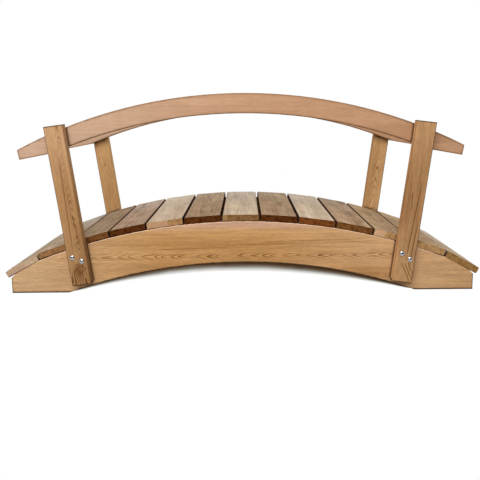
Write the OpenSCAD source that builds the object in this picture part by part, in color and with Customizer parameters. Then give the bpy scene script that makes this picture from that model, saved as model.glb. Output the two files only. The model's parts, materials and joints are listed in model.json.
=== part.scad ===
// Garden moon bridge in cedar: two arched stringers carry a deck of cross planks,
// four leaning posts are bolted outside them, and a curved handrail joins each pair.
// Millimetres. X runs along the bridge, Y across it, Z up from the ground.

/* [Deck] */
// Width over the outer faces of the two stringers
deck_w = 533; // [420:1:900]
// Width of a deck plank, along the walk
plank_w = 138; // [100:1:160]
// Thickness of a deck plank
plank_t = 25.4; // [18:0.2:40]
// Gap between neighbouring planks, at their undersides
plank_gap = 6.8; // [2:0.2:10]
// Planks on each side of the middle one, the end plank included
side_planks = 6; // [4:1:7]
// Plank ends stop this far short of the stringers' outer faces
plank_inset = 2; // [0.5:0.5:10]
// Radius of the planks' eased edges
plank_ease = 5; // [1:0.5:6]

/* [Stringers] */
// Thickness of a stringer board
stringer_t = 38; // [25:1:60]
// Depth of the arched band
stringer_d = 160; // [120:1:175]
// Radius of the arched top edge
top_r = 2151; // [2100:1:2600]
// Slope of the straight seat under each end plank, in degrees
ramp_slope = 29; // [28:0.5:34]
// Chamfer that eases the tip of the seat
nose = 15; // [5:1:20]
// Height of the upright end of a stringer
end_h = 60.5; // [50:0.5:90]
// How far the end plank's lower edge stands past the stringer's end
plank_overhang = 12; // [5:1:25]
// Radius of the stringers' eased edges
stringer_ease = 3; // [1:0.5:6]

/* [Posts] */
// Width of a post, along the bridge
post_w = 71; // [60:1:90]
// Thickness of a post
post_t = 38; // [25:1:60]
// Length of a post
post_l = 610; // [500:1:800]
// Outward lean of a post, in degrees
post_lean = 7.35; // [4:0.05:10]
// Distance from the stringer's end to the middle of the post's fixing
post_from_end = 270; // [220:1:300]
// Depth of the post's fixing below the stringer's top edge
fixing_drop = 41; // [30:1:60]
// Length of post below its fixing
post_tail = 101; // [70:1:115]
// Radius of the posts' eased edges
post_ease = 5; // [1:0.5:8]

/* [Handrails] */
// Thickness of a handrail
rail_t = 38; // [25:1:60]
// Depth of a handrail, measured upright
rail_d = 75; // [55:1:100]
// Radius of the handrail's top and lower edges
rail_r = 1840; // [1700:1:2600]
// Height of the post's end above the handrail's top edge, along the post
post_above_rail = 20; // [5:1:45]
// Length of the handrail's tail past the post, along its lower edge
tail_l = 125; // [60:1:150]
// Slope of the tail's lower edge, in degrees
tail_slope = 10.5; // [6:0.5:16]
// Radius of the handrails' eased edges
rail_ease = 5; // [1:0.5:8]

/* [Hidden] */
$fn = 96;
// Extra length on every cutter, so that no two faces coincide
over = 20;

// Deck: each plank takes one step of arc, and the end planks lie on straight ramps
plank_count = 2 * side_planks + 1;
plank_l = deck_w - 2 * plank_inset;
plank_step = (plank_w + plank_gap) / top_r * 180 / PI;
ramp_a = (side_planks - 0.5) * plank_step;

// Stringers: the ramp's foot and the end height set how high the arch stands
ramp_x = top_r * sin(ramp_a);
end_plank_out = plank_gap / 2 + plank_w;
stringer_half = ramp_x + end_plank_out * cos(ramp_slope) - plank_overhang;
nose_x = stringer_half - nose;
nose_z = end_h + nose;
ramp_z = nose_z + (nose_x - ramp_x) * tan(ramp_slope);
arch_z = ramp_z - top_r * cos(ramp_a);
crown_z = arch_z + top_r;

// Posts: the axis runs through the fixing, and the foot lies below it
fixing_x = stringer_half - post_from_end;
fixing_z = arch_z + sqrt(pow(top_r, 2) - pow(fixing_x, 2)) - fixing_drop;
foot_x = fixing_x - post_tail * sin(post_lean);
foot_z = fixing_z - post_tail * cos(post_lean);

// Handrails: the top edge crosses each post's axis just below the post's end
crossing = post_l - post_above_rail;
crossing_x = foot_x + crossing * sin(post_lean);
crossing_z = foot_z + crossing * cos(post_lean);
rail_z = crossing_z - sqrt(pow(rail_r, 2) - pow(crossing_x, 2));
// The lower edge is the same arc, set down by the handrail's depth
rail_low_z = rail_z - rail_d;
// The tail's straight lower edge starts where the lower arc leaves the post
edge_x = foot_x + post_w / 2 * cos(post_lean);
edge_z = foot_z - post_w / 2 * sin(post_lean) - rail_low_z;
edge_mid = edge_x * sin(post_lean) + edge_z * cos(post_lean);
edge_run = sqrt(pow(edge_mid, 2) + pow(rail_r, 2) - pow(edge_x, 2) - pow(edge_z, 2)) - edge_mid;
tail_x = edge_x + edge_run * sin(post_lean);
tail_z = edge_z + edge_run * cos(post_lean) + rail_low_z;
rail_span = 2 * (asin(tail_x / rail_r) + (tail_l + 2 * rail_d) / rail_r * 180 / PI);

stringer_span = 2 * (ramp_a + (end_plank_out + stringer_d) / top_r * 180 / PI);
outer_y = deck_w / 2;

PLANKS = [for (i = [1 : plank_count]) str("deck_plank_", i)];

// Rectangle with eased corners, centred on the origin
module eased_rectangle(across, up, ease) {
    square([across, up - 2 * ease], center = true);
    square([across - 2 * ease, up], center = true);
    for (sx = [-1, 1], sy = [-1, 1])
        translate([sx * (across / 2 - ease), sy * (up / 2 - ease)])
            circle(r = ease);
}

// Board bent to an arc in the XZ plane, with its middle at the top of the arc
module arched_board(outer_r, depth, thick, span, ease) {
    rotate([0, -90 + span / 2, 0])
        rotate([90, 0, 0])
            rotate_extrude(angle = span, $fn = 360)
                translate([outer_r - depth / 2, 0])
                    eased_rectangle(depth, thick, ease);
}

// Side of a stringer's board, from the ground up to the deck
module stringer_outline() {
    right = [
        [stringer_half, 0],
        [stringer_half, end_h],
        [nose_x, nose_z],
        [ramp_x, ramp_z],
        [ramp_x, crown_z + over]
    ];
    left = [for (i = [len(right) - 1 : -1 : 0]) [-right[i].x, right[i].y]];
    polygon(concat(right, left));
}

// One stringer in the middle of the bridge, feet on the ground
module stringer() {
    color("#c08a56")
        intersection() {
            translate([0, 0, arch_z])
                arched_board(top_r, stringer_d, stringer_t, stringer_span, stringer_ease);
            rotate([90, 0, 0])
                linear_extrude(stringer_t + 2 * over, center = true)
                    stringer_outline();
        }
}

// One deck plank, lying across the bridge with the middle of its underside at the origin
module plank() {
    color("#b08d6c")
        translate([0, 0, plank_t / 2])
            rotate([90, 0, 0])
                linear_extrude(plank_l, center = true)
                    eased_rectangle(plank_w, plank_t, plank_ease);
}

// Plank number i, counted from the left end
module deck_plank(i) {
    place = i - 1 - side_planks;
    side = sign(place);
    if (abs(place) < side_planks)
        translate([0, 0, arch_z])
            rotate([0, place * plank_step, 0])
                translate([0, 0, top_r])
                    plank();
    else
        translate([side * ramp_x, 0, ramp_z])
            rotate([0, side * ramp_slope, 0])
                translate([side * (end_plank_out - plank_w / 2), 0, 0])
                    plank();
}

// One post at the right-hand end, leaning outwards, in the middle of the bridge
module post() {
    color("#b57d46")
        translate([foot_x, 0, foot_z])
            rotate([0, post_lean, 0])
                linear_extrude(post_l)
                    eased_rectangle(post_w, post_t, post_ease);
}

// Cutters that give the handrail its straight-edged tail at the right-hand end
module tail_cut() {
    translate([tail_x, 0, tail_z])
        rotate([0, tail_slope, 0]) {
            translate([0, -rail_t / 2 - over, -rail_d - tail_l])
                cube([tail_l + rail_d, rail_t + 2 * over, rail_d + tail_l]);
            translate([tail_l, -rail_t / 2 - over, -rail_d - tail_l])
                cube([2 * (tail_l + rail_d), rail_t + 2 * over, 2 * (rail_d + tail_l)]);
        }
}

// One handrail in the middle of the bridge: what a band under its top arc and a band
// over its lower arc share, so that all four long edges are eased
module handrail() {
    color("#c48f67")
        difference() {
            intersection() {
                translate([0, 0, rail_z])
                    arched_board(rail_r, 2 * rail_d, rail_t, rail_span, rail_ease);
                translate([0, 0, rail_low_z])
                    arched_board(rail_r + 2 * rail_d, 2 * rail_d, rail_t, rail_span, rail_ease);
            }
            tail_cut();
            mirror([1, 0, 0]) tail_cut();
        }
}

// Near side is at -Y, far side at +Y; left is at -X, right at +X
module near_stringer() { translate([0, stringer_t / 2 - outer_y, 0]) stringer(); }
module far_stringer() { translate([0, outer_y - stringer_t / 2, 0]) stringer(); }
module near_handrail() { translate([0, rail_t / 2 - outer_y, 0]) handrail(); }
module far_handrail() { translate([0, outer_y - rail_t / 2, 0]) handrail(); }
module near_right_post() { translate([0, -outer_y - post_t / 2, 0]) post(); }
module far_right_post() { translate([0, outer_y + post_t / 2, 0]) post(); }
module near_left_post() { mirror([1, 0, 0]) near_right_post(); }
module far_left_post() { mirror([1, 0, 0]) far_right_post(); }

near_stringer();
far_stringer();
for (i = [1 : plank_count]) deck_plank(i);
near_left_post();
near_right_post();
far_left_post();
far_right_post();
near_handrail();
far_handrail();
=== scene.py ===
"""Looks of the garden moon bridge: cedar boards, zinc fasteners, floor, light and camera."""
import json
import math
from dataclasses import dataclass, replace

import bmesh
import bpy
from mathutils import Matrix, Vector
from mathutils.bvhtree import BVHTree

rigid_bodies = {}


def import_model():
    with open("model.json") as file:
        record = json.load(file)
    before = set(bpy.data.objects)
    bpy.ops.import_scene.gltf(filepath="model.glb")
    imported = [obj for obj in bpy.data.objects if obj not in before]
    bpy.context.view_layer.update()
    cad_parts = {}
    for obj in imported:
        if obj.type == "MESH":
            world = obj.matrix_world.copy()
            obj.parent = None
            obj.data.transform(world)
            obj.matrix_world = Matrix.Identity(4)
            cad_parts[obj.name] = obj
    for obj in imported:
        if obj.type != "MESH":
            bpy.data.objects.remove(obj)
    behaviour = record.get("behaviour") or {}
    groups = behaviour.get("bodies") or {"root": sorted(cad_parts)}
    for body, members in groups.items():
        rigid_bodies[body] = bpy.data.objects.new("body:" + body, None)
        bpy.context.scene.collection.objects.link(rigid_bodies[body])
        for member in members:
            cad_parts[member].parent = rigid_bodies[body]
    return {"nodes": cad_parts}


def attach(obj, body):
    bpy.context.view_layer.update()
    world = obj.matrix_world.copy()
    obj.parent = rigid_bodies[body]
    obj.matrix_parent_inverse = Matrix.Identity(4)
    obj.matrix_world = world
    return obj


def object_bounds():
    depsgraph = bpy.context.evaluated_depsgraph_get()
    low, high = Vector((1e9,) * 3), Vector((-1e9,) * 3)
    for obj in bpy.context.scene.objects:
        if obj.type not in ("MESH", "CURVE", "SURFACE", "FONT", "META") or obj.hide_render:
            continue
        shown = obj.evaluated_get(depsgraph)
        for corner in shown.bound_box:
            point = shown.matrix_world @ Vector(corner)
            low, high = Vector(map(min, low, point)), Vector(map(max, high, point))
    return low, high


for leftover in list(bpy.data.objects):
    bpy.data.objects.remove(leftover)
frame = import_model()
cad_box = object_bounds()
nodes = frame["nodes"]
scene = bpy.context.scene

RIGHT = Vector((1, 0, 0))
AWAY = Vector((0, 1, 0))
UP = Vector((0, 0, 1))
SIDES = {"near": -AWAY, "far": AWAY}
ENDS = ("left", "right")
PLANK_COUNT = sum(name.startswith("deck_plank_") for name in nodes)
TURN = 2 * math.pi

# Boards, measured from the frame
FACING_COSINE = 0.8


def facing(node, towards):
    """Mean normal of a node's faces that look roughly towards a direction, by area."""
    total = Vector()
    for face in node.data.polygons:
        if face.normal.dot(towards) > FACING_COSINE:
            total += face.normal * face.area
    return total.normalized()


class Board:
    """A sawn board: the way its grain runs, the way its show face looks, and its reach."""

    def __init__(self, name, along, out):
        self.name = name
        self.node = nodes[name]
        self.along = along.normalized()
        self.out = out.normalized()
        self.across = self.out.cross(self.along)
        corners = [vertex.co for vertex in self.node.data.vertices]
        self.reach = {}
        for axis in ("along", "across", "out"):
            reaches = [corner.dot(getattr(self, axis)) for corner in corners]
            self.reach[axis] = (min(reaches), max(reaches))

    def point(self, along=0.0, across=0.0, out=0.0):
        """A point at these metres from the middle of the show face."""
        middle_along = sum(self.reach["along"]) / 2
        middle_across = sum(self.reach["across"]) / 2
        show_face = self.reach["out"][1]
        return (
            self.along * (middle_along + along)
            + self.across * (middle_across + across)
            + self.out * (show_face + out)
        )

    def half(self, axis):
        """Half of the board's size along one of its axes."""
        low, high = self.reach[axis]
        return (high - low) / 2


def stringer_board(side):
    return Board(f"{side}_stringer", RIGHT, SIDES[side])


def rail_board(side):
    return Board(f"{side}_handrail", RIGHT, SIDES[side])


def post_board(side, end):
    name = f"{side}_{end}_post"
    edge = facing(nodes[name], RIGHT)
    down = AWAY.cross(edge)
    return Board(name, down, SIDES[side])


def plank_board(number):
    name = f"deck_plank_{number}"
    return Board(name, -AWAY, facing(nodes[name], UP))


# Materials
def linear(red, green, blue):
    """Scene colour of an sRGB colour given from 0 to 255."""
    shares = [value / 255 for value in (red, green, blue)]
    return (*[s / 12.92 if s <= 0.04045 else ((s + 0.055) / 1.055) ** 2.4 for s in shares], 1.0)


WHITE = (1.0, 1.0, 1.0, 1.0)
# Parts of a noise's range, which it rarely leaves
BROAD_SPAN = (0.2, 0.8)
WIDE_SPAN = (0.25, 0.75)
MAIN_SPAN = (0.3, 0.7)


class Paint:
    """The nodes of one material or world."""

    def __init__(self, block):
        block.use_nodes = True
        self.block = block
        self.tree = block.node_tree
        self.tree.nodes.clear()

    def feed(self, socket, value):
        """Links a socket to another one, or sets its value."""
        if isinstance(value, bpy.types.NodeSocket):
            self.tree.links.new(value, socket)
        else:
            socket.default_value = value

    def node(self, kind, sockets=None, **settings):
        made = self.tree.nodes.new(kind)
        for key, value in settings.items():
            setattr(made, key, value)
        for key, value in (sockets or {}).items():
            self.feed(made.inputs[key], value)
        return made

    def math(self, operation, first, second=0.0):
        made = self.node("ShaderNodeMath", {0: first, 1: second}, operation=operation)
        return made.outputs["Value"]

    def fold(self, operation, values):
        """Some values joined by one operation, in order."""
        joined = values[0]
        for value in values[1:]:
            joined = self.math(operation, joined, value)
        return joined

    def most(self, values):
        return self.fold("MAXIMUM", values)

    def product(self, values):
        return self.fold("MULTIPLY", values)

    def vector(self, operation, first, second):
        made = self.node("ShaderNodeVectorMath", {0: first, 1: second}, operation=operation)
        return made.outputs["Value" if operation in ("DOT_PRODUCT", "DISTANCE") else "Vector"]

    def remap(self, value, low, high, to_low=0.0, to_high=1.0, smooth=False):
        sockets = {"Value": value, "From Min": low, "From Max": high, "To Min": to_low, "To Max": to_high}
        kind = "SMOOTHSTEP" if smooth else "LINEAR"
        return self.node("ShaderNodeMapRange", sockets, interpolation_type=kind).outputs["Result"]

    def swing(self, noise, span, amount):
        """A factor that follows a noise, as far below 1 as above it."""
        return self.remap(noise, *span, 1 - amount, 1 + amount)

    def shift(self, noise, span, reach):
        """A length that follows a noise, as far to one side as to the other."""
        return self.remap(noise, *span, -reach, reach)

    def noise(self, vector, scale, detail, roughness=0.5):
        sockets = {"Vector": vector, "Scale": scale, "Detail": detail, "Roughness": roughness}
        return self.node("ShaderNodeTexNoise", sockets).outputs["Fac"]

    def mix(self, share, first, second, blend="MIX"):
        # Sockets 6 and 7 of this node take its two colours, and output 2 gives the mixed one
        sockets = {0: share, 6: first, 7: second}
        return self.node("ShaderNodeMix", sockets, data_type="RGBA", blend_type=blend).outputs[2]

    def tint(self, colour, share, tone):
        """A colour with this share of an sRGB tone in it."""
        return self.mix(share, colour, linear(*tone))

    def ramp(self, share, stops):
        made = self.node("ShaderNodeValToRGB", {"Fac": share})
        elements = made.color_ramp.elements
        while len(elements) < len(stops):
            elements.new(1.0)
        for element, (place, colour) in zip(elements, stops):
            element.position = place
            element.color = colour
        return made.outputs["Color"]

    def either(self, share, first, second):
        """The second shader by this share, and the first one for the rest."""
        made = self.node("ShaderNodeMixShader", {0: share, 1: first.outputs[0], 2: second.outputs[0]})
        return made.outputs[0]

    def surface(self, shader, output="ShaderNodeOutputMaterial"):
        self.node(output, {"Surface": shader})
        return self.block


@dataclass
class Cedar:
    """How one cedar board looks. Colours are sRGB; places are metres from the middle of its show face."""

    # Sawn faces, with the dark lines of their rings, and cut ends
    pale: tuple
    deep: tuple
    line: tuple
    end_pale: tuple
    end_dark: tuple
    # Tones of the arrises along the board and at its cut ends, and how strongly they show: pale ones are a
    # painted highlight, dark ones an outline that is partly painted shade
    edge: tuple
    end_edge: tuple
    arris_strength: float = 0.5
    # Whether its long edges are sawn to a curve, and how far from an edge the arris's tone reaches
    curved: bool = False
    outline: float = 0.0
    # The side across, -1 or 1, whose arris towards the front stays without the arris tone
    plain_arris: int = 0
    # How dark the painted shade is in the corners where it meets other boards
    corner_shade_depth: float = 0.9
    # Where the log's pith lay, across the board and out from its show face
    pith: tuple = (0.0, -0.016)
    # Distance between growth rings
    ring: float = 0.0052
    # Rings that the pith drifts by along a metre, and that it wanders by
    drift: float = 2.0
    wander: float = 1.0
    # How strongly the rings show, and the share of that away from the pith's line
    contrast: float = 0.5
    straight: float = 0.3
    # How far beside the pith's line the rings start to fade to that share, and reach it
    figure: tuple = (0.012, 0.034)
    # Rings by which their spacing along the board varies, and how ragged they are
    sway: float = 0.6
    ragged: float = 1.6
    # Where along the board, either way, the rings start to fade and are faint
    quiet: tuple = (1.0, 1.2)
    # Noise is taken from here along the grain
    seed: float = 0.0
    # How much long streaks, short flecks and wide patches differ from the mean
    streak: float = 0.1
    fleck: float = 0.06
    mottle: float = 0.0
    # Light at the two ends along the grain, and on the two edges that look across
    light: tuple = (1.0, 1.0)
    edge_light: tuple = (1.0, 1.0)
    # Ring swirl round a knot: place along and across, reach along and across, rings
    knot: tuple = None
    # Dark veins: from along and across, to along and across
    veins: tuple = ()
    vein_depth: float = 0.5
    # Other tones along the board: where each starts and is full, and its colour
    tones: tuple = ()
    # Soft ovals of other tones: place along and across, reach along and across, and colour
    patches: tuple = ()
    # Another tone across the board: where it starts and is full, and its colour
    stripe: tuple = None
    # Sapwood on the cut ends: where it ends across the board, and its colour
    sapwood: tuple = None
    # Long edges with painted shade in the gap beside them, -1 and 1 across, and how dark it is
    shaded_edges: tuple = ()
    gap_shade_depth: float = 1.0
    # Height of the painted shade over the seat and over the ground, and the length of the darkening at the
    # cut ends
    seat_shade: float = 0.0
    ground_shade: float = 0.0
    end_darkening: float = 0.0
    # How dark the painted shade on the arrises that look down is
    under_shade: float = 0.0
    # Width of the eased arrises at the cut ends
    arris: float = 0.002


# Noises in the wood: scale, detail and roughness
WANDER_NOISE = (12.0, 2.0)
SWAY_NOISE = (10.0, 2.0)
FIGURE_NOISE = (14.0, 2.0)
MOTTLE_NOISE = (13.0, 3.0)
BLOTCH_NOISE = (16.0, 2.0)
STREAK_NOISE = (90.0, 4.0, 0.6)
FIBRE_NOISE = (420.0, 3.0, 0.65)
FLECK_NOISE = (260.0, 3.0, 0.6)
PORE_NOISE = (70.0, 4.0, 0.6)
GRIT_NOISE = (230.0, 3.0, 0.7)
NOISE_MIDDLE = 0.5
# Places along the board are scaled by these, which draws noise out along the grain
GRAIN_STRETCH = 0.06
FLECK_STRETCH = 0.15
SEED_STEP = 7.3

# Growth rings: a ring texture makes this many radians a unit at scale 1
RING_RATE = 20.0
RING_DETAIL = 4.0
RAGGED_SCALE = 1.3
LATE_SPAN = (0.4, 0.95)
FINE_RINGS = 4
FINE_RAGGED = 1.0
FINE_DETAIL = 2.0
FINE_DEPTH = 0.3
# Rings are clearer in some stretches than in others, and faint where the board is quiet
FIGURE_SPAN = (0.38, 0.62)
FIGURE_SHARES = (0.25, 1.4)
QUIET_SHARE = 0.3
KNOT_EDGE = (0.03, 0.2)
KNOT_DEPTH = 1.5

# Tones on the faces
BLOTCH_SPAN = (0.34, 0.66)
STRIPE_WAVE = 0.012
VEIN_WIDTH = 0.0033
VEIN_WAVE = 0.004
VEIN_TAPER = 0.15
FIBRE_SWING = 0.05

# Tones on the cut ends
PORE_SPAN = (0.34, 0.64)
PORE_SHARES = (1.15, 0.85)
SAPWOOD_WAVE = 0.008
SAPWOOD_EDGE = 0.003
GRIT_SWING = 0.38

# How far a surface leans, as a cosine, between a tone's start and its full depth
CUT_LEAN = (0.62, 0.8)
EDGE_LEAN = (0.5, 0.9)
GAP_LEAN = (0.45, 0.8)
ARRIS_LEAN = (0.975, 0.87)
END_ARRIS_LEAN = (0.25, 0.45)
OUTLINE_LEAN = (0.995, 0.9)
PLAIN_LEAN = (0.02, 0.12)
UNDER_LEAN = (0.1, 0.5)

# Colours of the dark brown of painted shade and of darkened cut ends, of the painted shade in gaps, and of
# the painted shade in corners
DARK_BROWN = (66, 45, 30)
GAP_SHADE = (44, 5, 0)
CORNER_SHADE = (58, 32, 17)
# A darkening is full at this share of its length
DARKENING_FULL = 0.4
END_DARKENING_DEPTH = 0.7
# Reach of a lower arris and of a corner, and how open a corner is where its painted shade is full and where
# it ends
UNDER_REACH = 0.008
CREVICE_REACH = 0.01
CREVICE_OPEN = (0.55, 0.95)
EDGE_SAMPLES = 8

# Relief and sheen
FIBRE_RISE = 0.8
RING_DIP = 0.3
RELIEF_STRENGTH = 0.35
RELIEF_DEPTH = 0.0006
CEDAR_GLOSS = 0.008
CEDAR_ROUGHNESS = (0.55, 0.72)

# Places of a board's three axes in a list
ALONG, ACROSS, OUT = range(3)


class CedarPaint(Paint):
    """Sawn cedar for one board: growth rings round the log's pith, wherever the board's faces cut them."""

    def __init__(self, board, look):
        super().__init__(bpy.data.materials.new(f"{board.name}_cedar"))
        self.board = board
        self.look = look
        here = self.node("ShaderNodeTexCoord")
        self.place = here.outputs["Object"]
        self.normal = here.outputs["Normal"]
        axes = Matrix((board.along, board.across, board.out))
        self.local = self.node("ShaderNodeMapping", {
            "Vector": self.place,
            "Location": -(axes @ board.point()),
            "Rotation": axes.to_euler(),
        }).outputs["Vector"]
        self.along, self.across, self.out = self.node("ShaderNodeSeparateXYZ", {"Vector": self.local}).outputs
        # How squarely the surface looks along, across and out
        self.looks = [self.vector("DOT_PRODUCT", self.normal, axis) for axis in axes]
        self.leans = [self.math("ABSOLUTE", value) for value in self.looks]
        self.log = self.vector("ADD", self.local, (look.seed * SEED_STEP, 0, 0))
        self.grain = self.vector("MULTIPLY", self.log, (GRAIN_STRETCH, 1, 1))
        short_grain = self.vector("MULTIPLY", self.log, (FLECK_STRETCH, 1, 1))
        self.wander = self.noise(self.grain, *WANDER_NOISE)
        self.blotch = self.noise(self.grain, *BLOTCH_NOISE)
        self.streak = self.noise(self.grain, *STREAK_NOISE)
        self.fibre = self.noise(self.grain, *FIBRE_NOISE)
        self.fleck = self.noise(short_grain, *FLECK_NOISE)
        self.pores = self.noise(self.local, *PORE_NOISE)
        # 1 in corners between boards, where the painted shade goes, 0 in the open
        open_air = self.node("ShaderNodeAmbientOcclusion", {"Distance": CREVICE_REACH}, samples=EDGE_SAMPLES)
        self.corner = self.remap(open_air.outputs["AO"], *CREVICE_OPEN, 1.0, 0.0)

    def rounded(self, radius):
        """Normal of the surface as if its edges were rounded."""
        return self.node("ShaderNodeBevel", {"Radius": radius}, samples=EDGE_SAMPLES).outputs["Normal"]

    def oval(self, place_along, place_across, reach_along, reach_across):
        """1 at the middle of an oval on the show face, 0 beyond its reach."""
        from_middle = self.vector("SUBTRACT", self.local, (place_along, place_across, 0))
        scaled = self.vector("MULTIPLY", from_middle, (1 / reach_along, 1 / reach_across, 0))
        return self.remap(self.vector("DISTANCE", scaled, (0, 0, 0)), 0.0, 1.0, 1.0, 0.0, smooth=True)

    def rings(self):
        """Dark late wood of the growth rings, coarse and fine, and how strongly it shows."""
        look = self.look
        from_pith = self.vector("SUBTRACT", self.grain, (0, *look.pith))
        sway = self.noise(self.log, *SWAY_NOISE)
        phase = self.fold("ADD", [
            self.math("MULTIPLY", self.along, look.drift * TURN),
            self.math("MULTIPLY", self.wander, look.wander * TURN / NOISE_MIDDLE),
            self.math("MULTIPLY", sway, look.sway * TURN / NOISE_MIDDLE),
        ])
        beside = self.math("ABSOLUTE", self.math("SUBTRACT", self.across, look.pith[0]))
        figure = self.product([
            self.remap(beside, *look.figure, 1.0, look.straight, smooth=True),
            self.remap(self.noise(self.log, *FIGURE_NOISE), *FIGURE_SPAN, *FIGURE_SHARES),
            self.remap(self.math("ABSOLUTE", self.along), *look.quiet, 1.0, QUIET_SHARE),
        ])
        if look.knot:
            *oval, swirl_rings = look.knot
            knot = self.oval(*oval)
            phase = self.math("ADD", phase, self.math("MULTIPLY", knot, swirl_rings * TURN))
            figure = self.most([figure, self.remap(knot, *KNOT_EDGE, 0.0, KNOT_DEPTH, smooth=True)])
        late_wood = []
        for finer, ragged, detail in ((1, look.ragged, RING_DETAIL), (FINE_RINGS, FINE_RAGGED, FINE_DETAIL)):
            wave = self.node("ShaderNodeTexWave", {
                "Vector": from_pith,
                "Scale": finer * TURN / (RING_RATE * look.ring),
                "Distortion": ragged,
                "Detail": detail,
                "Detail Scale": RAGGED_SCALE,
                "Phase Offset": self.math("MULTIPLY", phase, finer),
            }, wave_type="RINGS", rings_direction="X", wave_profile="SAW").outputs["Fac"]
            late_wood.append(self.remap(wave, *LATE_SPAN, smooth=True))
        return *late_wood, self.math("MULTIPLY", figure, look.contrast)

    def vein(self, start_along, start_across, end_along, end_across):
        """1 on a dark vein between two places on the show face, 0 off it."""
        run = Vector((end_along - start_along, end_across - start_across, 0))
        beside = Vector((-run.y, run.x, 0)).normalized()
        from_start = self.vector("SUBTRACT", self.local, (start_along, start_across, 0))
        share = self.vector("DOT_PRODUCT", from_start, run / run.length_squared)
        wave = self.shift(self.wander, MAIN_SPAN, VEIN_WAVE)
        off = self.math("ADD", self.vector("DOT_PRODUCT", from_start, beside), wave)
        return self.product([
            self.remap(self.math("ABSOLUTE", off), 0.0, VEIN_WIDTH, 1.0, 0.0, smooth=True),
            self.remap(share, 0.0, VEIN_TAPER, smooth=True),
            self.remap(share, 1.0, 1.0 - VEIN_TAPER, smooth=True),
        ])

    def shade(self):
        """Light and dark of the sawn faces."""
        look = self.look
        half = self.board.half("along")
        starts, full = EDGE_LEAN
        return self.product([
            self.swing(self.streak, WIDE_SPAN, look.streak),
            self.swing(self.fibre, WIDE_SPAN, FIBRE_SWING),
            self.swing(self.fleck, MAIN_SPAN, look.fleck),
            self.swing(self.noise(self.local, *MOTTLE_NOISE), MAIN_SPAN, look.mottle),
            self.remap(self.along, -half, half, *look.light),
            self.remap(self.looks[ACROSS], -starts, -full, 1.0, look.edge_light[0]),
            self.remap(self.looks[ACROSS], starts, full, 1.0, look.edge_light[1]),
        ])

    def face_colour(self, late_wood, fine_wood, figure):
        """Colour of the sawn faces."""
        look = self.look
        blotches = self.remap(self.blotch, *BLOTCH_SPAN, smooth=True)
        colour = self.tint(linear(*look.pale), blotches, look.deep)
        for start, full, tone in look.tones:
            colour = self.tint(colour, self.remap(self.along, start, full), tone)
        for *oval, tone in look.patches:
            colour = self.tint(colour, self.oval(*oval), tone)
        if look.stripe:
            start, full, tone = look.stripe
            wavy = self.math("ADD", self.across, self.shift(self.blotch, BROAD_SPAN, STRIPE_WAVE))
            colour = self.tint(colour, self.remap(wavy, start, full, smooth=True), tone)
        colour = self.tint(colour, self.math("MULTIPLY", late_wood, figure), look.line)
        colour = self.tint(colour, self.math("MULTIPLY", fine_wood, FINE_DEPTH * look.contrast), look.line)
        if look.veins:
            veins = self.most([self.vein(*ends) for ends in look.veins])
            colour = self.tint(colour, self.math("MULTIPLY", veins, look.vein_depth), look.line)
        return self.mix(1.0, colour, self.shade(), "MULTIPLY")

    def end_colour(self, late_wood):
        """Colour of the cut ends: pores, rings and any sapwood."""
        look = self.look
        pores = self.math("MULTIPLY", self.pores, self.remap(late_wood, 0.0, 1.0, *PORE_SHARES))
        colour = self.tint(linear(*look.end_dark), self.remap(pores, *PORE_SPAN), look.end_pale)
        if look.sapwood:
            edge, tone = look.sapwood
            wavy = self.math("ADD", self.across, self.shift(self.pores, BROAD_SPAN, SAPWOOD_WAVE))
            heartwood = self.remap(wavy, edge - SAPWOOD_EDGE, edge + SAPWOOD_EDGE)
            colour = self.mix(heartwood, linear(*tone), colour)
        grit = self.swing(self.noise(self.local, *GRIT_NOISE), MAIN_SPAN, GRIT_SWING)
        return self.mix(1.0, colour, grit, "MULTIPLY")

    def shade_and_darkening(self, colour):
        """Painted shade in corners, in gaps, over the seat and the ground and on lower arrises, and darkening
        at the cut ends.
        """
        look = self.look
        # Painted shade in the corners between boards
        colour = self.tint(colour, self.math("MULTIPLY", self.corner, look.corner_shade_depth), CORNER_SHADE)
        # Painted shade on the plank sides in the gaps between planks
        if look.shaded_edges:
            sides = [self.math("MULTIPLY", self.looks[ACROSS], side) for side in look.shaded_edges]
            in_gap = self.remap(self.most(sides), *GAP_LEAN, 0.0, look.gap_shade_depth, smooth=True)
            colour = self.tint(colour, in_gap, GAP_SHADE)
        # Painted shade along the plank's underside, where it lies on the stringer
        if look.seat_shade:
            depth = 2 * self.board.half("out")
            low = self.remap(self.out, look.seat_shade - depth, DARKENING_FULL * look.seat_shade - depth)
            colour = self.tint(colour, low, GAP_SHADE)
        # Painted contact shade along the foot, just over the ground
        if look.ground_shade:
            height = self.vector("DOT_PRODUCT", self.place, UP)
            low = self.remap(height, look.ground_shade, DARKENING_FULL * look.ground_shade)
            colour = self.tint(colour, low, DARK_BROWN)
        # Darker towards the cut ends
        if look.end_darkening:
            end = self.board.half("along")
            from_middle = self.math("ABSOLUTE", self.along)
            starts = end - look.end_darkening
            full = end - DARKENING_FULL * look.end_darkening
            colour = self.tint(colour, self.remap(from_middle, starts, full, 0.0, END_DARKENING_DEPTH), DARK_BROWN)
        # Painted shade on the arrises that look down
        if look.under_shade:
            downward = self.vector("DOT_PRODUCT", self.rounded(UNDER_REACH), -UP)
            colour = self.tint(colour, self.remap(downward, *UNDER_LEAN, 0.0, look.under_shade), DARK_BROWN)
        return colour

    def squareness(self):
        """How squarely the surface looks one way: 1 on a face or an edge, less on the arris between them."""
        if not self.look.curved:
            return self.most(self.leans)
        out = self.leans[OUT]
        edgewise = self.math("SQRT", self.math("SUBTRACT", 1.0, self.math("MULTIPLY", out, out)))
        return self.most([out, edgewise])

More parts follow.
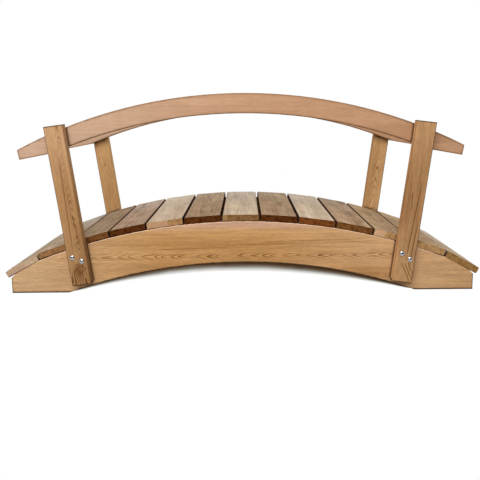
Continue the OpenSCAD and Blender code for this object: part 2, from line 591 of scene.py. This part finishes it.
    def beside_plain_arris(self, rounded):
        """0 on the arris between the side that stays plain and the face to the front, 1 elsewhere."""
        inward = self.vector("DOT_PRODUCT", rounded, self.board.across * self.look.plain_arris)
        forward = self.vector("DOT_PRODUCT", rounded, -AWAY)
        return self.remap(self.math("MINIMUM", inward, forward), *PLAIN_LEAN, 1.0, 0.0)

    def arris_share(self):
        """How strongly the arris's tone shows, with its painted highlight and its partly painted shade."""
        look = self.look
        arris_share = self.remap(self.squareness(), *ARRIS_LEAN, 0.0, look.arris_strength, smooth=True)
        if look.outline:
            rounded = self.rounded(look.outline)
            turned = self.vector("DOT_PRODUCT", rounded, self.normal)
            arris_share = self.most([arris_share, self.remap(turned, *OUTLINE_LEAN, 0.0, look.arris_strength)])
            if look.plain_arris:
                arris_share = self.math("MULTIPLY", arris_share, self.beside_plain_arris(rounded))
        return arris_share

    def make(self):
        """The finished material."""
        look = self.look
        late_wood, fine_wood, figure = self.rings()
        face = self.face_colour(late_wood, fine_wood, figure)
        cut = self.remap(self.leans[ALONG], *CUT_LEAN, smooth=True)
        colour = self.mix(cut, face, self.end_colour(late_wood))
        # Arris tone: a painted highlight on pale arrises, and dark outlines that are partly painted shade
        at_end = self.remap(self.leans[ALONG], *END_ARRIS_LEAN)
        arris = self.tint(linear(*look.edge), at_end, look.end_edge)
        colour = self.shade_and_darkening(self.mix(self.arris_share(), colour, arris))
        fibres = self.math("MULTIPLY", self.fibre, FIBRE_RISE)
        ridges = self.math("SUBTRACT", fibres, self.math("MULTIPLY", late_wood, RING_DIP))
        relief = self.node("ShaderNodeBump", {
            "Height": self.math("ADD", ridges, self.math("MULTIPLY", self.pores, cut)),
            "Strength": RELIEF_STRENGTH,
            "Distance": RELIEF_DEPTH,
        })
        streaky = self.remap(self.streak, *MAIN_SPAN, *CEDAR_ROUGHNESS)
        shader = self.node("ShaderNodeBsdfPrincipled", {
            "Base Color": colour,
            "Roughness": self.most([streaky, self.corner]),
            "Specular IOR Level": CEDAR_GLOSS,
            "Normal": relief.outputs["Normal"],
        })
        return self.surface(shader.outputs["BSDF"])


ZINC_NOISE = (400.0, 3.0)
ZINC_RELIEF_STRENGTH = 0.1
ZINC_RELIEF_DEPTH = 0.0002


def zinc_material(name, dull, bright, smooth, rough):
    """Zinc plate with a faint mottle."""
    paint = Paint(bpy.data.materials.new(name))
    here = paint.node("ShaderNodeTexCoord")
    mottle = paint.noise(here.outputs["Object"], *ZINC_NOISE)
    relief = paint.node("ShaderNodeBump", {
        "Height": mottle,
        "Strength": ZINC_RELIEF_STRENGTH,
        "Distance": ZINC_RELIEF_DEPTH,
    })
    shader = paint.node("ShaderNodeBsdfPrincipled", {
        "Base Color": paint.tint(linear(*dull), mottle, bright),
        "Metallic": 1.0,
        "Roughness": paint.remap(mottle, *MAIN_SPAN, smooth, rough),
        "Normal": relief.outputs["Normal"],
    })
    return paint.surface(shader.outputs["BSDF"])


# Looks of the stringers, handrails and posts
# The stringers' pale arris tone is a painted highlight on the top arris, where light catches it
STRINGER = Cedar(
    pale=(194, 149, 97), deep=(175, 130, 80), line=(122, 78, 38),
    end_pale=(170, 122, 78), end_dark=(120, 80, 48),
    edge=(244, 212, 182), end_edge=(112, 82, 56), arris_strength=0.95, curved=True,
    pith=(0.002, -0.0035), ring=0.009, drift=-23.0, wander=0.7, sway=1.7, ragged=4.0,
    contrast=0.78, straight=0.05, figure=(0.004, 0.019), quiet=(0.52, 0.68),
    seed=1.0, streak=0.21, fleck=0.13,
    veins=((-0.15, 0.046, 0.58, 0.058), (0.05, 0.057, 0.5, 0.067), (-0.34, 0.030, -0.02, 0.040)),
    vein_depth=0.45,
    tones=((0.1, 0.6, (200, 159, 116)), (0.7, 0.85, (192, 150, 108)), (-0.3, -0.8, (198, 161, 121))),
    # The dark oval low at the right end is painted shade towards the lower edge
    patches=((0.46, -0.075, 0.26, 0.06, (170, 125, 78)),), stripe=(0.085, 0.125, (197, 157, 130)),
    ground_shade=0.006, end_darkening=0.005, under_shade=0.95, arris=0.003,
)
# The handrails' and posts' dark arris tone is an outline along their arrises, partly painted shade
RAIL = Cedar(
    pale=(189, 147, 114), deep=(180, 138, 105), line=(156, 112, 80),
    end_pale=(170, 128, 96), end_dark=(128, 92, 64),
    edge=(126, 91, 60), end_edge=(100, 74, 54), arris_strength=0.9, curved=True, outline=0.014,
    pith=(-0.5, -0.25), ring=0.006, drift=3.0, wander=1.2, contrast=0.4, straight=0.8,
    seed=3.0, streak=0.11, fleck=0.07, tones=((0.1, -0.7, (190, 159, 135)),),
)
POST = Cedar(
    pale=(190, 146, 100), deep=(170, 126, 82), line=(104, 64, 32),
    end_pale=(150, 112, 76), end_dark=(104, 72, 44),
    edge=(98, 68, 42), end_edge=(88, 66, 46), arris_strength=0.9, outline=0.006,
    pith=(0.0, -0.05), ring=0.0052, drift=6.0, wander=0.8, ragged=2.6, contrast=0.4, straight=0.5,
    seed=5.0, fleck=0.12, end_darkening=0.006, arris=0.003,
)
LOOKS = {
    "near_stringer": STRINGER,
    "far_stringer": replace(STRINGER, seed=2.0),
    "near_handrail": replace(RAIL, light=(1.03, 0.93)),
    "far_handrail": replace(RAIL, seed=4.0),
    "near_left_post": replace(
        POST, plain_arris=1, pith=(0.014, -0.008), ring=0.0045, drift=-32.0, sway=1.8, ragged=5.0,
        contrast=0.75, straight=0.22, figure=(0.004, 0.016), streak=0.15,
        light=(0.97, 0.77), edge_light=(1.0, 0.92), knot=(0.33, -0.004, 0.12, 0.045, 5.0),
        veins=((-0.2, 0.004, 0.2, -0.0085), (0.02, 0.012, 0.16, 0.02), (0.256, -0.021, 0.2185, -0.006),
               (0.2185, -0.006, 0.244, 0.032), (0.24, 0.029, 0.26, 0.006), (0.227, 0.008, 0.2555, -0.0157)),
        vein_depth=0.7, tones=((-0.05, -0.25, (194, 153, 113)),),
        patches=((0.25, 0.002, 0.05, 0.036, (150, 106, 66)),)),
    "near_right_post": replace(
        POST, pale=(169, 128, 87), deep=(147, 107, 69), plain_arris=-1, pith=(0.12, -0.02), drift=3.0,
        seed=6.0, streak=0.24, fleck=0.16, edge_light=(1.3, 1.0),
        veins=((-0.09, 0.0155, 0.21, 0.0015), (0.06, 0.0255, 0.23, 0.018), (-0.045, -0.012, 0.03, -0.006),
               (0.225, -0.016, 0.315, 0.038), (0.225, -0.005, 0.295, 0.040), (0.222, 0.009, 0.268, 0.037)),
        vein_depth=0.9,
        tones=((-0.1, -0.3, (180, 139, 98)), (0.04, 0.13, (172, 131, 90)), (0.18, 0.26, (182, 141, 98)))),
    "far_left_post": replace(
        POST, pale=(195, 154, 106), deep=(181, 140, 93), plain_arris=-1, contrast=0.35,
        seed=7.0, light=(1.04, 1.04), edge_light=(1.0, 1.15)),
    "far_right_post": replace(
        POST, pale=(207, 164, 114), deep=(192, 149, 101), plain_arris=1, drift=-20.0, sway=1.5, contrast=0.6,
        seed=8.0, edge_light=(1.15, 1.0)),
}

# Faces of the planks, which come from different logs: pale, deep, ring lines, arrises with their painted
# highlight, and far end with its painted sheen
FACES = {
    "beige": ((192, 173, 149), (176, 155, 132), (146, 122, 96), (206, 188, 166), (202, 186, 167)),
    "drab": ((156, 135, 108), (142, 119, 94), (108, 84, 60), (160, 138, 112), (154, 131, 106)),
    "umber": ((164, 138, 110), (147, 120, 93), (112, 84, 58), (164, 138, 110), (170, 150, 125)),
    "rose": ((170, 144, 120), (154, 126, 103), (118, 90, 68), (172, 146, 122), (182, 165, 149)),
    "tan": ((171, 144, 113), (155, 128, 97), (120, 92, 64), (194, 168, 138), (175, 148, 115)),
    "grey": ((178, 158, 135), (162, 141, 118), (130, 108, 86), (184, 164, 142), (188, 175, 158)),
}
# How strongly rings and wide patches show on them
PLAIN_FIGURE = {"contrast": 0.5, "mottle": 0.16}
FAINT_FIGURE = {"contrast": 0.3, "mottle": 0.08}
# Cut ends of the planks: pale and dark
CUTS = {
    "blush": ((190, 166, 136), (168, 141, 112)),
    "straw": ((170, 128, 84), (132, 94, 56)),
    "honey": ((178, 140, 94), (142, 105, 66)),
    "gold": ((150, 109, 69), (112, 77, 45)),
    "moss": ((152, 115, 68), (120, 88, 48)),
    "olive": ((132, 96, 58), (98, 68, 40)),
    "bark": ((119, 77, 38), (74, 43, 20)),
    "russet": ((121, 69, 32), (76, 38, 15)),
    "umber": ((90, 48, 18), (46, 20, 6)),
}
# Planks from the left: face, cut end, place of the pith across, and light at the far and at the near end
PLANKS = [
    ("grey", "blush", 0.03, (0.96, 0.95)),
    ("grey", "gold", -0.04, (0.96, 0.95)),
    ("drab", "bark", 0.02, (1.1, 1.0)),
    ("rose", "umber", -0.02, (1.06, 0.86)),
    ("beige", "straw", 0.05, (1.0, 0.96)),
    ("umber", "umber", 0.01, (1.06, 0.78)),
    ("beige", "olive", -0.03, (0.84, 0.94)),
    ("umber", "umber", 0.02, (0.92, 0.88)),
    ("beige", "russet", -0.05, (0.84, 1.02)),
    ("umber", "bark", 0.03, (0.85, 1.19)),
    ("tan", "honey", 0.0, (1.02, 1.02)),
    ("tan", "honey", -0.02, (1.13, 1.13)),
    ("grey", "moss", 0.04, (1.26, 1.13)),
]
# Planks with sapwood: where it ends across, and its colour
SAPWOOD = {
    1: (0.016, (180, 149, 122)),
    5: (0.012, (176, 138, 104)),
    7: (-0.05, (146, 111, 72)),
    11: (-0.024, (194, 154, 117)),
}
PLANK_PITH_OUT = -0.09
PLANK_SEED = 10.0
# Where along a plank the painted sheen of its far end starts and is full
FAR_SHEEN_REACH = (0.05, -0.26)
# Painted shade in the gaps gets fainter with every plank from the middle, and the gaps of the first planks
# have none
GAP_SHADE_FADE = 0.05
MIDDLE_PLANK = (PLANK_COUNT + 1) / 2
UNSHADED_PLANKS = 2
# The first planks from the left have painted shade higher over their seat
SEAT_SHADE = 0.0025
HIGH_SEAT_SHADE = 0.005
HIGH_SHADED_PLANKS = 4


def plank_look(number, face, cut, pith_across, light):
    """How one deck plank looks."""
    pale, deep, line, edge, far_sheen = FACES[face]
    end_pale, end_dark = CUTS[cut]
    shaded_edges = [side for side in (-1, 1) if UNSHADED_PLANKS < number + side <= PLANK_COUNT]
    return Cedar(
        pale=pale, deep=deep, line=line, end_pale=end_pale, end_dark=end_dark,
        edge=edge, end_edge=edge, arris_strength=0.6, corner_shade_depth=0.5,
        pith=(pith_across, PLANK_PITH_OUT), ring=0.006, drift=2.0, wander=1.5, straight=0.8,
        **(FAINT_FIGURE if face == "beige" else PLAIN_FIGURE),
        seed=PLANK_SEED + number, streak=0.2, fleck=0.17, light=light,
        # The far end's tone is a painted sheen
        tones=((*FAR_SHEEN_REACH, far_sheen),), sapwood=SAPWOOD.get(number),
        shaded_edges=tuple(shaded_edges), gap_shade_depth=1 - GAP_SHADE_FADE * abs(number - MIDDLE_PLANK),
        seat_shade=HIGH_SEAT_SHADE if number <= HIGH_SHADED_PLANKS else SEAT_SHADE, arris=0.0025,
    )


for number, plank in enumerate(PLANKS, 1):
    LOOKS[f"deck_plank_{number}"] = plank_look(number, *plank)

WELD_REACH = 0.00001
ARRIS_SEGMENTS = 3
SHARP_ANGLE = math.radians(35)


def dress(board):
    """Eases a board's cut ends and gives it its own cedar."""
    node = board.node
    look = LOOKS[board.name]
    weld = node.modifiers.new("weld", "WELD")
    weld.merge_threshold = WELD_REACH
    arris = node.modifiers.new("arris", "BEVEL")
    arris.width = look.arris
    arris.segments = ARRIS_SEGMENTS
    arris.limit_method = "ANGLE"
    arris.angle_limit = SHARP_ANGLE
    node.modifiers.new("flat faces", "WEIGHTED_NORMAL")
    node.data.materials.clear()
    node.data.materials.append(CedarPaint(board, look).make())


for side in SIDES:
    dress(stringer_board(side))
    dress(rail_board(side))
    for end in ENDS:
        dress(post_board(side, end))
for number in range(1, PLANK_COUNT + 1):
    dress(plank_board(number))

# Fasteners
MILLI = 0.001
bright_zinc = zinc_material(
    "bright_zinc", dull=(152, 153, 156), bright=(182, 182, 182), smooth=0.09, rough=0.14)
yellow_zinc = zinc_material(
    "yellow_zinc", dull=(150, 130, 98), bright=(172, 150, 116), smooth=0.5, rough=0.65)


def lathe(form, place, profile, segments=32):
    """Adds a turned shape to a mesh: points of radius and height in millimetres, about the place's Z."""
    loops = []
    for radius, height in profile:
        if radius == 0:
            loops.append([form.verts.new(place @ Vector((0, 0, height * MILLI)))])
            continue
        loop = []
        for step in range(segments):
            turn = TURN * step / segments
            spot = Vector((radius * math.cos(turn), radius * math.sin(turn), height)) * MILLI
            loop.append(form.verts.new(place @ spot))
        loops.append(loop)
    for lower, upper in zip(loops, loops[1:]):
        for step in range(segments):
            after = (step + 1) % segments
            quad = [
                lower[step % len(lower)], lower[after % len(lower)],
                upper[after % len(upper)], upper[step % len(upper)],
            ]
            # A loop of one point makes a triangle
            form.faces.new(list(dict.fromkeys(quad)))


def facing_place(spot, out):
    """Matrix of a spot whose Z looks out of the wood."""
    return Matrix.Translation(spot) @ out.to_track_quat("Z", "X").to_matrix().to_4x4()


def inner_place(spot, board):
    """Matrix of the point behind a spot on a board's inner face, looking out of it."""
    depth = (spot - board.point()).dot(board.out) + 2 * board.half("out")
    return facing_place(spot - board.out * depth, -board.out)


def fastener(name, form, zinc):
    """Makes a piece of the object from a mesh of fasteners."""
    mesh = bpy.data.meshes.new(name)
    bmesh.ops.recalc_face_normals(form, faces=form.faces)
    form.to_mesh(mesh)
    form.free()
    mesh.polygons.foreach_set("use_smooth", [True] * len(mesh.polygons))
    mesh.set_sharp_from_angle(angle=SHARP_ANGLE)
    mesh.materials.append(zinc)
    piece = bpy.data.objects.new(name, mesh)
    scene.collection.objects.link(piece)
    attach(piece, "root")


def dome(radius, rim, height, steps=8):
    """Profile of a domed head, from its edge on the wood to its crown."""
    crown = height - rim
    ball = (radius ** 2 + crown ** 2) / (2 * crown)
    widest = math.asin(radius / ball)
    points = [(radius, 0.0)]
    for step in range(steps):
        turn = widest * (1 - step / steps)
        points.append((ball * math.sin(turn), height - ball * (1 - math.cos(turn))))
    return [*points, (0, height)]


# Carriage bolts: distance up from the post's foot, then to each side and up or down, in metres
BOLT_UP = 0.101
BOLT_ACROSS = 0.0165
BOLT_STEP = 0.009
# Profiles of radius and height, in millimetres
BOLT_HEAD = dome(radius=9.3, rim=0.8, height=4.6)
WASHER = [(4.2, 0.0), (9.8, 0.0), (10.0, 0.3), (10.0, 1.4), (9.8, 1.6), (4.2, 1.6)]
NUT = [(4.0, 1.6), (7.0, 1.6), (7.5, 2.0), (7.5, 7.6), (6.8, 8.1), (4.0, 8.1)]
NUT_SIDES = 6
THREAD_START = 6.6
THREAD_PITCH = 0.7
THREAD_TURNS = 8
THREAD_SEGMENTS = 20
THREAD = [(4.0, 1.6)]
for crest in range(THREAD_TURNS):
    crest_height = THREAD_START + crest * THREAD_PITCH
    THREAD += [(4.0, crest_height), (3.5, crest_height + THREAD_PITCH / 2)]
THREAD += [(3.2, 12.4), (0, 12.4)]


def carriage_bolt(name, post, stringer, across, along):
    """Domed head on a post's face, with its washer and nut on the stringer's inner face."""
    form = bmesh.new()
    spot = post.point(post.half("along") - BOLT_UP + along, across)
    lathe(form, facing_place(spot, post.out), BOLT_HEAD)
    inner = inner_place(spot, stringer)
    lathe(form, inner, WASHER)
    lathe(form, inner, NUT, NUT_SIDES)
    lathe(form, inner, THREAD, THREAD_SEGMENTS)
    fastener(name, form, bright_zinc)


SCREW_HEAD = [(3.8, 0.0), (3.8, 0.2), (3.5, 0.4), (2.0, 0.45), (1.7, 0.1), (0, 0.05)]
SCREW_SEGMENTS = 16
# Distance of a deck screw from the plank's edge, and place of a handrail screw on the post, in metres
DECK_SCREW_EDGE = 0.030
RAIL_SCREW_DOWN = 0.058
RAIL_SCREW_ACROSS = 0.016


def deck_screws(side):
    """Two screws through each plank into one stringer."""
    form = bmesh.new()
    stringer = stringer_board(side)
    line = stringer.point(out=-stringer.half("out")).dot(AWAY)
    for number in range(1, PLANK_COUNT + 1):
        plank = plank_board(number)
        for share in (-1, 1):
            spot = plank.point(-line, share * (plank.half("across") - DECK_SCREW_EDGE))
            lathe(form, facing_place(spot, plank.out), SCREW_HEAD, SCREW_SEGMENTS)
    fastener(f"{side}_deck_screws", form, yellow_zinc)


def handrail_screws(side):
    """Two screws through the handrail into each post, from the inside."""
    form = bmesh.new()
    rail = rail_board(side)
    for end in ENDS:
        post = post_board(side, end)
        for share in (-1, 1):
            spot = post.point(RAIL_SCREW_DOWN - post.half("along"), share * RAIL_SCREW_ACROSS)
            lathe(form, inner_place(spot, rail), SCREW_HEAD, SCREW_SEGMENTS)
    fastener(f"{side}_handrail_screws", form, yellow_zinc)


for side in SIDES:
    for end in ENDS:
        for number, share in enumerate((-1, 1), 1):
            carriage_bolt(f"{side}_{end}_bolt_{number}", post_board(side, end), stringer_board(side),
                          share * BOLT_ACROSS, share * BOLT_STEP)
    deck_screws(side)
    handrail_screws(side)

# Floor: half its size, then the step, the margin and the softening of the shadow worked out on it
FLOOR_HALF = 30.0
SHADE_STEP = 0.02
SHADE_MARGIN = 0.3
SOFT_REACH = 3
# Light that reaches the floor comes from the front, and a little of it from high behind
LIGHT_TURN = math.radians(60)
FRONT_ASIDE = math.radians(5)
HIGHEST_RISE = math.radians(80)
BACK_RISE = math.radians(40)
FRONT_RAYS = 480
BACK_RAYS = 120
BACK_WEIGHT = 0.14
GOLDEN_SHARE = (math.sqrt(5) - 1) / 2
# Floor colour by the share of that light
FLOOR_TONES = [
    (0.15, linear(30, 18, 9)), (0.184, linear(82, 60, 40)), (0.207, linear(127, 120, 110)),
    (0.237, linear(210, 208, 204)), (0.27, WHITE),
]
FLOOR_BOUNCE = (0.3, 0.29, 0.28, 1)
# The dim room in front, and how far in front of the bridge it starts in what gloss shows
DIM_ROOM = linear(12, 11, 10)
SWEEP_EDGE = (0.75, 1.0)


def light_rays(middle, aside, lowest, count):
    """Ways to the light on one side, spread evenly over its turns and rises."""
    rays = []
    for step in range(count):
        turn = aside + LIGHT_TURN * (2 * (step + 0.5) / count - 1)
        rise = lowest + (HIGHEST_RISE - lowest) * (step * GOLDEN_SHARE % 1)
        level = RIGHT * math.sin(turn) + middle * math.cos(turn)
        rays.append(level * math.cos(rise) + UP * math.sin(rise))
    return rays


def clear_share(tree, point, rays):
    """Share of the ways to a light that no board is in."""
    return sum(tree.ray_cast(point, ray)[0] is None for ray in rays) / len(rays)


def solid_tree():
    """All the boards, ready for rays."""
    points = []
    faces = []
    for node in nodes.values():
        first = len(points)
        points += [vertex.co for vertex in node.data.vertices]
        faces += [[first + corner for corner in face.vertices] for face in node.data.polygons]
    return BVHTree.FromPolygons(points, faces)


def softened(row):
    """A row of values, each with its neighbours in it."""
    windows = [row[max(place - SOFT_REACH, 0):place + SOFT_REACH + 1] for place in range(len(row))]
    return [sum(window) / len(window) for window in windows]


def fine_steps(low, high):
    """Places along one side of the floor: close together near the bridge, and at the floor's own ends."""
    count = math.ceil((high - low) / SHADE_STEP)
    return [-FLOOR_HALF, *[low + (high - low) * step / count for step in range(count + 1)], FLOOR_HALF]


def shown_to_eye(paint):
    """1 for rays from the camera, also by way of gloss or glass."""
    path = paint.node("ShaderNodeLightPath")
    return paint.most([path.outputs[f"Is {kind} Ray"] for kind in ("Camera", "Glossy", "Transmission")])


def floor_material():
    """Sweep that the camera sees as white, with the bridge's shadow, and gloss with the dim room in front."""
    paint = Paint(bpy.data.materials.new("white_sweep"))
    lit = paint.node("ShaderNodeAttribute", attribute_name="front_light").outputs["Fac"]
    place = paint.node("ShaderNodeTexCoord").outputs["Object"]
    beyond = paint.remap(paint.vector("DOT_PRODUCT", place, -AWAY), *SWEEP_EDGE)
    gloss = paint.node("ShaderNodeLightPath").outputs["Is Glossy Ray"]
    tone = paint.mix(paint.math("MULTIPLY", beyond, gloss), paint.ramp(lit, FLOOR_TONES), DIM_ROOM)
    seen = paint.node("ShaderNodeEmission", {"Color": tone, "Strength": 1.0})
    bounce = paint.node("ShaderNodeBsdfDiffuse", {"Color": FLOOR_BOUNCE})
    return paint.surface(paint.either(shown_to_eye(paint), bounce, seen))


def make_floor():
    """White floor that holds, at each point, the share of the light that reaches it."""
    low, high = cad_box
    across = fine_steps(low.x - SHADE_MARGIN, high.x + SHADE_MARGIN)
    away = fine_steps(low.y - SHADE_MARGIN, high.y + SHADE_MARGIN)
    tree = solid_tree()
    front = light_rays(-AWAY, FRONT_ASIDE, 0.0, FRONT_RAYS)
    back = light_rays(AWAY, 0.0, BACK_RISE, BACK_RAYS)
    points = []
    lit = []
    for y in away:
        row = [Vector((x, y, 0)) for x in across]
        points += row
        lit += softened([
            clear_share(tree, point, front) + BACK_WEIGHT * clear_share(tree, point, back) for point in row])
    faces = []
    for row in range(len(away) - 1):
        for column in range(len(across) - 1):
            corner = row * len(across) + column
            faces.append((corner, corner + 1, corner + 1 + len(across), corner + len(across)))
    mesh = bpy.data.meshes.new("floor")
    mesh.from_pydata(points, [], faces)
    mesh.attributes.new("front_light", "FLOAT", "POINT").data.foreach_set("value", lit)
    mesh.materials.append(floor_material())
    floor = bpy.data.objects.new("floor", mesh)
    scene.collection.objects.link(floor)


# Light
ROOM_LIGHT = 0.6
# Cosines, from straight up and from the front, between which the dim wall ends
WALL_EDGE = (0.4, 0.6)


def studio_world():
    """Soft room light, shown as white to the camera and to gloss, but for a dim wall in front."""
    paint = Paint(bpy.data.worlds.new("studio"))
    way = paint.node("ShaderNodeTexCoord").outputs["Generated"]
    above = paint.remap(paint.vector("DOT_PRODUCT", way, UP), *WALL_EDGE, smooth=True)
    aside = paint.remap(paint.vector("DOT_PRODUCT", way, -AWAY), *reversed(WALL_EDGE), smooth=True)
    glow = paint.mix(paint.most([above, aside]), DIM_ROOM, WHITE)
    gloss = paint.node("ShaderNodeLightPath").outputs["Is Glossy Ray"]
    backdrop = paint.mix(gloss, WHITE, glow)
    room = paint.node("ShaderNodeBackground", {"Color": WHITE, "Strength": ROOM_LIGHT})
    white = paint.node("ShaderNodeBackground", {"Color": backdrop, "Strength": 1.0})
    return paint.surface(paint.either(shown_to_eye(paint), room, white), "ShaderNodeOutputWorld")


def softbox(name, spot, target, size, power, in_gloss=True):
    """A square lamp of this size that looks at a target."""
    light = bpy.data.lights.new(name, "AREA")
    light.shape = "SQUARE"
    light.size = size
    light.energy = power
    lamp = bpy.data.objects.new(name, light)
    lamp.visible_glossy = in_gloss
    scene.collection.objects.link(lamp)
    lamp.location = spot
    lamp.rotation_euler = (Vector(target) - Vector(spot)).to_track_quat("-Z", "Y").to_euler()


make_floor()
scene.world = studio_world()
softbox("key", spot=(-0.7, -3.1, 2.8), target=(0, 0, 0.3), size=3.0, power=150.0)
softbox("fill", spot=(0.9, 3.2, 1.5), target=(0, 0, 0.4), size=2.0, power=60.0, in_gloss=False)

# Camera: metres and radians, and its focal length in pixels
IMAGE_PIXELS = 480
FOCAL_PIXELS = 503.7
SENSOR_MILLIMETRES = 36.0
CAMERA_AT = Vector((0.0175, -2.1461, 0.7052))
CAMERA_YAW = -0.0093
CAMERA_DIP = 0.1195
CAMERA_ROLL = 0.0123
SHIFT_UP = -0.15

sight = Vector((
    math.sin(CAMERA_YAW) * math.cos(CAMERA_DIP),
    math.cos(CAMERA_YAW) * math.cos(CAMERA_DIP),
    -math.sin(CAMERA_DIP),
))
level = Vector((math.cos(CAMERA_YAW), -math.sin(CAMERA_YAW), 0))
below = sight.cross(level)
image_right = level * math.cos(CAMERA_ROLL) + below * math.sin(CAMERA_ROLL)
image_down = below * math.cos(CAMERA_ROLL) - level * math.sin(CAMERA_ROLL)
lens = bpy.data.cameras.new("camera")
lens.sensor_width = SENSOR_MILLIMETRES
lens.lens = lens.sensor_width * FOCAL_PIXELS / IMAGE_PIXELS
lens.shift_y = SHIFT_UP
camera = bpy.data.objects.new("camera", lens)
scene.collection.objects.link(camera)
camera_axes = Matrix((image_right, -image_down, -sight)).transposed()
camera.matrix_world = Matrix.Translation(CAMERA_AT) @ camera_axes.to_4x4()
scene.camera = camera
scene.view_settings.view_transform = "Standard"
